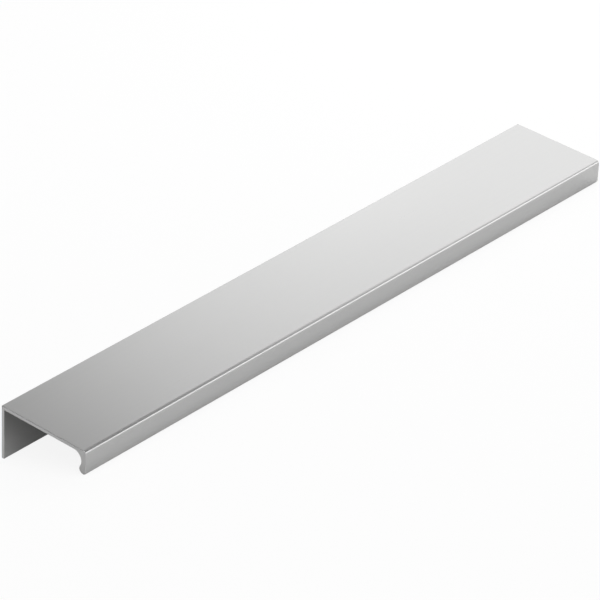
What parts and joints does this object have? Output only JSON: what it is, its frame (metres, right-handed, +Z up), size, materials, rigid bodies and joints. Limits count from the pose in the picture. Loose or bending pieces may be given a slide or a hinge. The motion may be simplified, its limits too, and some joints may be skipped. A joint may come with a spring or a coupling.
{
  "type": "handleless finger pull profile",
  "caption": "Extruded aluminium edge pull: a flat plate with a screw-on back leg and a short hooked lip with a rounded bead in front, for the edge of a drawer or cupboard front.",
  "frame": {"origin": "on the floor, at the centre of the part's bounding box as it leans on its leg tip and bead", "axes": "+X along the extrusion, +Y towards the back leg, +Z up; the lip and bead are on the -Y side"},
  "size_m": [0.32, 0.0508, 0.0238],
  "materials": {
    "anodised_aluminium": "finely brushed and anodised in a stainless steel shade"
  },
  "bodies": {
    "root": {"finger_pull_profile": "anodised_aluminium"}
  },
  "joints": []
}
